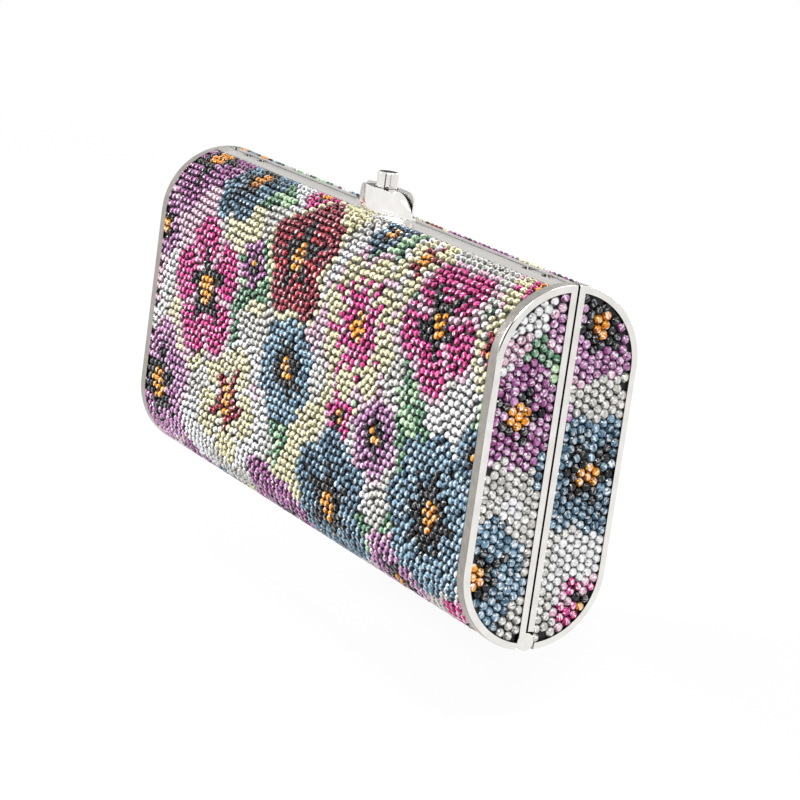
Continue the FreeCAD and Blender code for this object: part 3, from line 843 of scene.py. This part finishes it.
def settled(points, nearest, hold):
    """Push crowded stones apart until they lie almost evenly; hold keeps them in their field."""
    points = hold(np.array(points))
    for step in range(SETTLE_STEPS):
        tree = KDTree(len(points))
        for number, (across, along) in enumerate(points):
            tree.insert((across, along, 0), number)
        tree.balance()
        push = np.zeros_like(points)
        for number, (across, along) in enumerate(points):
            for other, index, distance in tree.find_range((across, along, 0), nearest):
                if distance > 0:
                    share = (nearest - distance) / distance
                    push[number] += ((across - other.x) * share, (along - other.y) * share)
        points = hold(points + PUSH_SHARE * push)
    return points


sample = list(stone_columns(0, 20 * MM, 20 * MM, 2 * MM, 2 * MM, random.Random(1)))
print("a sample of the setting, 20 mm square, 2 mm apart:", len(sample), "stones")

# %% [markdown]
# A seeded draw turns and tilts each stone a little, the same way on every run.
# All stones of a field share one mesh: the modelled stone's points are turned and placed
# for each spot at once with arrays, because setting thousands by operators would take hours.
# The facets that face up and to the left get painted light and painted glints, and those that face away
# get painted shade.

# %% Setting stones
TILT = math.radians(5)
TILT_SHARE = 0.6
STONE_SIZES = (0.93, 1.05)
TOWARDS_LIGHT = np.array((-0.25, 0.0, 0.55))
GLINT_FROM = 0.54
LIT_FROM = 0.28
SHADE_UNDER = -0.14
# facets below the girdle get painted shade, as if from the next stone, and the table gets painted light
GIRDLE = 0.40
GIRDLE_SHADE = 0.42
TABLE = 0.75
TABLE_LIGHT = 0.40


def painted_facet_shading(turned, out, spread, draw):
    """Painted shade, own colour, painted light or a painted glint for each facet of a placed stone,
    from the way that the facet faces.
    """
    # how far a facet faces up and left decides its painted shade, painted light or painted glint
    tilt = turned @ TOWARDS_LIGHT - (turned @ out) * (out @ TOWARDS_LIGHT)
    tilt = tilt - GIRDLE_SHADE * (facet_heights < GIRDLE) + TABLE_LIGHT * (facet_heights > TABLE)
    tilt = tilt + draw.normal(0, spread, len(tilt))
    steps = (tilt > GLINT_FROM, tilt > LIT_FROM, tilt > SHADE_UNDER)
    return np.select(steps, (PAINTED_GLINT, PAINTED_LIGHT, MIDDLE), PAINTED_SHADE)


class Field:
    """Stones to be set: the spot, the outward direction and the colour of each."""

    def __init__(self, seed, radius, height, spread):
        self.draw = random.Random(seed)
        self.radius = radius
        self.height = height
        self.spread = spread
        self.spots = []

    def add(self, spot, outward, colour):
        self.spots.append((spot, outward, colour))

    def axes(self, outward):
        """Three axes for a stone: two across it, turned at random, and one out of the surface."""
        lean = Vector((self.draw.gauss(0, 1), self.draw.gauss(0, 1), self.draw.gauss(0, 1)))
        out = (outward + lean * math.tan(TILT) * TILT_SHARE).normalized()
        across = out.orthogonal().normalized()
        across.rotate(Quaternion(out, self.draw.uniform(0, FULL_TURN)))
        return across, out.cross(across), out

    def build(self, name):
        """One mesh of all the stones."""
        points = []
        faces = []
        slots = []
        cutter = np.random.default_rng(len(self.spots))
        for number, (spot, outward, colour) in enumerate(self.spots):
            stone_axes = np.array(self.axes(outward))
            width = self.radius * self.draw.uniform(*STONE_SIZES)
            scale = np.array((width, width, self.height))
            points.append(stone_points * scale @ stone_axes + np.array(spot))
            first = number * len(stone_points)
            faces.extend(tuple(first + corner for corner in face) for face in stone_faces)
            # each facet gets painted shade, the stone's own colour, painted light or a painted glint
            facet_shading = painted_facet_shading(stone_normals @ stone_axes, stone_axes[2], self.spread, cutter)
            slots.extend(colour_number[colour] * len(SHADING_NAMES) + facet_shading)
        mesh = bpy.data.meshes.new(name)
        mesh.from_pydata(np.concatenate(points).tolist(), [], faces)
        for finish in stone_finishes:
            mesh.materials.append(finish)
        mesh.polygons.foreach_set("material_index", slots)
        mesh.update()
        mesh.shade_smooth()
        piece = bpy.data.objects.new(name, mesh)
        scene.collection.objects.link(piece)
        print(name, len(self.spots), "stones,", len(mesh.polygons), "faces")
        return piece


sample = painted_facet_shading(stone_normals, np.array((0, 0, 1)), 0, np.random.default_rng(1))
print("facet tones of an upright stone:", sample.tolist())

# %% [markdown]
# On the body the stones lie in staggered rows that run along the case, from end to end.
# A walk down over the pill's outline, from the top strip to the hinge strip, gives each row
# its place and its outward direction. Each half is built as two meshes, left and right.

# %% Body stones
BODY_SEEDS = {"front": 20, "back": 50}
BODY_PITCH = 2.36 * MM
BODY_ROWS = 1.86 * MM
BODY_NEAREST = 2.12 * MM
BODY_STONE = 1.0 * MM
BODY_SPREAD = 0.17
# the size of the blossoms and how often to try to place one
BODY_BLOSSOMS = ((18 * MM, 40), (14.5 * MM, 120), (10.5 * MM, 200), (7 * MM, 200))
EDGE_ROOM = 0.10 * MM
SEAT_LIFT = 0.2 * MM
BELOW_RIM = 0.12 * MM
seat_radius = shell_radius + SEAT_LIFT
body_stone_height = (rim_radius - BELOW_RIM - seat_radius) / STONE_HEIGHT


def outline_walk(radius, head_edge, foot_edge):
    """The length of an outline, and a function from distance to (y, z, outward y, outward z)."""
    first = math.asin(head_edge / radius)
    last = math.pi - math.asin(foot_edge / radius)
    round_top = (math.pi / 2 - first) * radius
    straight = upper - lower
    total = round_top + straight + (last - math.pi / 2) * radius

    def at(distance):
        if distance < round_top:
            angle = first + distance / radius
            centre = upper
        elif distance < round_top + straight:
            return radius, upper - (distance - round_top), 1.0, 0.0
        else:
            angle = math.pi / 2 + (distance - round_top - straight) / radius
            centre = lower
        out_y = math.sin(angle)
        out_z = math.cos(angle)
        return radius * out_y, centre + radius * out_z, out_y, out_z

    return total, at


def set_body(half, side, seed):
    length, at = outline_walk(seat_radius, top_edge, bottom_edge)
    garden = Garden(seed, (-field_half, 0), (field_half, length), BODY_BLOSSOMS)
    fields = {}
    for field_seed, (end, way) in enumerate(ENDS, seed + 1):
        fields[end] = Field(field_seed, BODY_STONE, body_stone_height, BODY_SPREAD)
    room = BODY_STONE + EDGE_ROOM
    low = np.array((room, room))
    high = np.array((length - room, 2 * field_half - room))

    def hold(points):
        return np.clip(points, low, high)

    draw = random.Random(seed + 3)
    grid = list(stone_columns(0, length, 2 * field_half, BODY_PITCH, BODY_ROWS, draw))
    for down, from_left in settled(grid, BODY_NEAREST, hold):
        along = from_left - field_half
        y, z, out_y, out_z = at(down)
        field = fields["left" if along < 0 else "right"]
        outward = Vector((0, out_y * side, out_z))
        field.add((along, y * side, z), outward, garden.colour(along, down))
    for end, field in fields.items():
        piece = field.build("%s_%s_stones" % (half, end))
        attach(piece, half + "_half")


for half, side in HALVES:
    set_body(half, side, BODY_SEEDS[half])

# %% [markdown]
# The end panels are flat D shapes between rim and parting bar.
# Their stones are larger, and one garden runs across both halves of an end.
# A setter fills such a panel right up to its edge, so the stones are held inside the D
# while they push each other apart.

# %% End stones
END_SEEDS = {"left": 381, "right": 566}
END_PITCH = 2.16 * MM
END_COLUMNS = 1.90 * MM
END_NEAREST = 2.22 * MM
END_STONE = 1.14 * MM
END_SPREAD = 0.30
END_SEAT = 0.45 * MM
END_BLOSSOMS = ((13 * MM, 10), (8 * MM, 12))
# how far inside the panel's edge a stone starts and is held, as shares of its radius
END_STARTS = 0.3
END_HELD = 0.66


def panel_hold(radius, inner_edge, room):
    """A function that moves points (across, up) back to where their stones fit in the panel."""

    def hold(points):
        across = np.maximum(points[:, 0], inner_edge + room)
        centre = np.clip(points[:, 1], lower, upper)
        rise = points[:, 1] - centre
        back = np.minimum(1, (radius - room) / np.hypot(across, rise))
        across = np.maximum(across * back, inner_edge + room)
        return np.stack((across, centre + rise * back), axis=1)

    return hold


def set_end(end, way, seed):
    low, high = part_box("back_%s_end_crystals" % end)
    inner_edge = low.y
    radius = high.y
    seat = min(abs(low.x), abs(high.x)) + END_SEAT
    stone_height = (half_length - BELOW_RIM - seat) / STONE_HEIGHT
    garden = Garden(seed, (-radius, low.z), (radius, high.z), END_BLOSSOMS)
    draw = random.Random(seed + 3)
    hold = panel_hold(radius, inner_edge, END_HELD * END_STONE)
    for field_seed, (half, side) in enumerate(HALVES, seed + 1):
        grid = []
        tall = high.z - low.z
        for across, rise in stone_columns(inner_edge, radius, tall, END_PITCH, END_COLUMNS, draw):
            up = rise + low.z
            centre = min(max(up, lower), upper)
            if math.hypot(across, up - centre) < radius - END_STARTS * END_STONE:
                grid.append((across, up))
        field = Field(field_seed, END_STONE, stone_height, END_SPREAD)
        for across, up in settled(grid, END_NEAREST, hold):
            colour = garden.colour(across * side, up)
            field.add((seat * way, across * side, up), Vector((way, 0, 0)), colour)
        piece = field.build("%s_%s_end_stones" % (half, end))
        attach(piece, half + "_half")


for end, way in ENDS:
    set_end(end, way, END_SEEDS[end])

# %% [markdown]
# Between the stones a thin bed of dark foil and cement shows; its near-black colour is partly painted
# shade between the stones.
# It is a thinned copy of the CAD covering, so it ends exactly at the strips and rims.

# %% Cement beds
BED = 0.28 * MM
BED_METAL = 0.5
# nearly black: a dark bed, darkened further as painted shade between the stones
BED_TINTS_AND_SHADE = ((0.009, 0.0085, 0.009), (0.028, 0.027, 0.028))
BED_GLOSS = (0.35, 0.55)
BED_TINT_SCALE = 700
BED_GLOSS_SCALE = 1500


def bed_finish():
    finish, shader = new_finish("foil_bed")
    shader.inputs["Metallic"].default_value = BED_METAL
    vary(finish, shader, "Base Color", BED_TINT_SCALE, EVEN, *BED_TINTS_AND_SHADE)
    smooth, hazy = (grey(value) for value in BED_GLOSS)
    vary(finish, shader, "Roughness", BED_GLOSS_SCALE, EVEN, smooth, hazy)
    return finish


def thin_body_bed(half):
    """A copy of a body covering whose outer wall lies close to the shell."""
    node = half + "_crystals"
    piece = copy_of(node, half + "_bed")
    for vertex in piece.data.vertices:
        centre = min(max(vertex.co.z, lower), upper)
        out = Vector((0, vertex.co.y, vertex.co.z - centre))
        if out.length > (shell_radius + stone_top_radius) / 2:
            out *= (shell_radius + BED) / out.length
            vertex.co.y = out.y
            vertex.co.z = centre + out.z
    return piece, node


def thin_end_bed(half, end):
    """A copy of an end covering whose outer face lies close to the plate."""
    node = "%s_%s_end_crystals" % (half, end)
    piece = copy_of(node, "%s_%s_end_bed" % (half, end))
    low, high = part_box(node)
    plate = min(low.x, high.x, key=abs)
    middle = (abs(low.x) + abs(high.x)) / 2
    for vertex in piece.data.vertices:
        if abs(vertex.co.x) > middle:
            vertex.co.x = plate + math.copysign(END_SEAT, plate)
    return piece, node


foil_bed = bed_finish()
for half, side in HALVES:
    beds = [thin_body_bed(half)]
    beds.extend(thin_end_bed(half, end) for end, way in ENDS)
    for piece, node in beds:
        piece.data.materials.append(foil_bed)
        work_on(piece)
        bpy.ops.object.shade_smooth_by_angle(angle=SHARP)
        stand_for(piece, node)
        print(piece.name, len(piece.data.polygons), "faces")

# %% [markdown]
# Inside, each half is lined with thin kid leather in a pale champagne tone.
# Its tint and its gloss vary slowly, as in a tanned skin.
# The fine grain is a cell pattern with worn creases between the cells.

# %% Kid leather
LEATHER_TINTS = ((0.40, 0.345, 0.27), (0.47, 0.41, 0.33))
LEATHER_GLOSS = (0.38, 0.56)
LEATHER_TINT_SCALE = 60
LEATHER_GLOSS_SCALE = 400
LEATHER_SHEEN = 0.15
GRAIN_SCALE = 1400
GRAIN_STRENGTH = 0.55
GRAIN_DEPTH = 0.10 * MM


def leather_finish():
    finish, shader = new_finish("kid_leather")
    vary(finish, shader, "Base Color", LEATHER_TINT_SCALE, EVEN, *LEATHER_TINTS)
    smooth, hazy = (grey(value) for value in LEATHER_GLOSS)
    vary(finish, shader, "Roughness", LEATHER_GLOSS_SCALE, EVEN, smooth, hazy)
    shader.inputs["Sheen Weight"].default_value = LEATHER_SHEEN
    where = finish.node_tree.nodes.new("ShaderNodeTexCoord")
    grain = finish.node_tree.nodes.new("ShaderNodeTexVoronoi")
    grain.feature = "SMOOTH_F1"
    grain.inputs["Scale"].default_value = GRAIN_SCALE
    finish.node_tree.links.new(where.outputs["Object"], grain.inputs["Vector"])
    heights = grain.outputs["Distance"]
    creases = raise_surface(finish, shader, heights, GRAIN_STRENGTH, GRAIN_DEPTH)
    creases.invert = True
    return finish


leather = leather_finish()
print("leather:", leather.name)

# %% [markdown]
# The leather is glued into the tray, so it follows the metal, but it can't turn a sharp corner:
# where the trough meets the end walls it makes a soft round with small gathers.
# A grid is laid over the tray: its columns are sections of the tray, which shrink on the end
# walls, and its rows run from the top edge of each section to the hinge edge.
# Solidify then gives the leather its thickness, and a bevel turns its edge.

# %% Leather linings
LEATHER_WALL = 0.8 * MM
LEATHER_ROUND = 4.0 * MM
LEATHER_EDGE = 0.30 * MM
EDGE_STEPS = 2
EDGE_ANGLE = math.radians(60)
SOFT_ANGLE = math.radians(50)
GATHER_DEPTH = 0.35 * MM
GATHERS = 30
WALL_STATIONS = 9
ROUND_STATIONS = 7
TROUGH_STATIONS = 20
LINING_ROWS = 121
# the first section's radius is this many times the lip, so that it stays open
FIRST_SECTION = 1.02
# between these radii the end walls are cut back beside the hinge
HINGE_CLEAR = (11.0 * MM, 13.0 * MM)


def lining_stations(wall, bore, lip):
    """(x, radius, gather) of each section, from the left end wall over the trough to the right."""
    flat = bore - LEATHER_ROUND
    start = lip * FIRST_SECTION
    stations = []
    for number in range(WALL_STATIONS):
        share = number / WALL_STATIONS
        stations.append((-wall, start + (flat - start) * share, 0.0))
    for number in range(ROUND_STATIONS):
        angle = number / ROUND_STATIONS * math.pi / 2
        x = -wall + LEATHER_ROUND * (1 - math.cos(angle))
        stations.append((x, flat + LEATHER_ROUND * math.sin(angle), math.sin(2 * angle)))
    reach = wall - LEATHER_ROUND
    for number in range(TROUGH_STATIONS):
        stations.append((-reach + reach * number / TROUGH_STATIONS, bore, 0.0))
    mirrored = [(-x, radius, gather) for x, radius, gather in reversed(stations)]
    return stations + [(0.0, bore, 0.0)] + mirrored


def hinge_edge(radius, lip, hinge_lip):
    """Where a section ends beside the hinge: the end walls are cut back with a soft curve."""
    share = (radius - HINGE_CLEAR[0]) / (HINGE_CLEAR[1] - HINGE_CLEAR[0])
    share = min(max(share, 0), 1)
    return lip + (hinge_lip - lip) * share * share * (3 - 2 * share)


def lay_lining(piece, side, stations, lip, hinge_lip):
    """Move each point of a flat grid, 2 wide and 2 long, to its place in the tray."""
    for vertex in piece.data.vertices:
        x, radius, gather = stations[round((vertex.co.x + 1) / 2 * (len(stations) - 1))]
        share = (vertex.co.y + 1) / 2
        fold = gather * GATHER_DEPTH * (0.5 + 0.5 * math.sin(share * GATHERS * FULL_TURN))
        length, at = outline_walk(radius - fold, lip, hinge_edge(radius, lip, hinge_lip))
        y, z, out_y, out_z = at(share * length)
        vertex.co = (x, y * side, z)


def thicken_lining(piece, side):
    """Give the leather its wall towards the tray, and a turned edge."""
    bpy.ops.object.mode_set(mode="EDIT")
    bpy.ops.mesh.select_all(action="SELECT")
    bpy.ops.mesh.normals_make_consistent(inside=False)
    bpy.ops.object.mode_set(mode="OBJECT")
    outward = sum(face.normal.y * side * face.area for face in piece.data.polygons)
    hide = piece.modifiers.new("hide", "SOLIDIFY")
    hide.thickness = LEATHER_WALL
    hide.offset = 1 if outward > 0 else -1
    bpy.ops.object.modifier_apply(modifier=hide.name)
    edge = piece.modifiers.new("turned_edge", "BEVEL")
    edge.width = LEATHER_EDGE
    edge.segments = EDGE_STEPS
    edge.limit_method = "ANGLE"
    edge.angle_limit = EDGE_ANGLE
    bpy.ops.object.modifier_apply(modifier=edge.name)


def line_half(half, side):
    node = half + "_lining"
    low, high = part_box(node)
    lip = min(abs(low.y), abs(high.y))
    bore = max(abs(low.y), abs(high.y)) - LEATHER_WALL
    hinge_lip = math.sqrt((bore + LEATHER_WALL) ** 2 - (lower - low.z) ** 2)
    stations = lining_stations(high.x - LEATHER_WALL, bore, lip)
    bpy.ops.object.select_all(action="DESELECT")
    bpy.ops.mesh.primitive_grid_add(
        x_subdivisions=len(stations) - 1, y_subdivisions=LINING_ROWS - 1, size=2)
    piece = bpy.context.active_object
    piece.name = half + "_leather"
    lay_lining(piece, side, stations, lip, hinge_lip)
    thicken_lining(piece, side)
    piece.data.materials.append(leather)
    bpy.ops.object.shade_smooth_by_angle(angle=SOFT_ANGLE)
    stand_for(piece, node)
    area = sum(face.area for face in piece.data.polygons) / 2
    print(piece.name, len(piece.data.polygons), "faces, %.5f square metres" % area)


for half, side in HALVES:
    line_half(half, side)

# %% [markdown]
# Two springs change shape when the button goes down, which a rigid node can't do.
# The return spring gets shorter, and the stem pushes the tongue down towards the strip under it.
# Here each is a steel copy of its CAD shape that takes the node's place; the copies keep their shape.

# %% Springs
COIL_ANGLE = math.radians(65)


def spring_copy(node, name, angle):
    """A steel copy of a spring, shaded smooth up to an angle."""
    piece = copy_of(node, name)
    piece.data.materials.append(steel)
    work_on(piece)
    bpy.ops.object.shade_smooth_by_angle(angle=angle)
    stand_for(piece, node)
    print(name, len(piece.data.polygons), "faces")
    return piece


coil = spring_copy("return_spring", "return_coil", COIL_ANGLE)
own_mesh(coil)
tongue = spring_copy("spring_tongue", "tongue_leaf", SHARP)
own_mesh(tongue)

# %% [markdown]
# Last, the box of the dressed case is written beside the box of the CAD model.
# The two have to agree, because the finish must not change the size of the part.

# %% Sizes and finish
dressed_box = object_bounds()
for name, box in (("cad", cad_box), ("visual", dressed_box)):
    print(name, [round((high - low) / MM, 2) for low, high in zip(*box)], "mm")
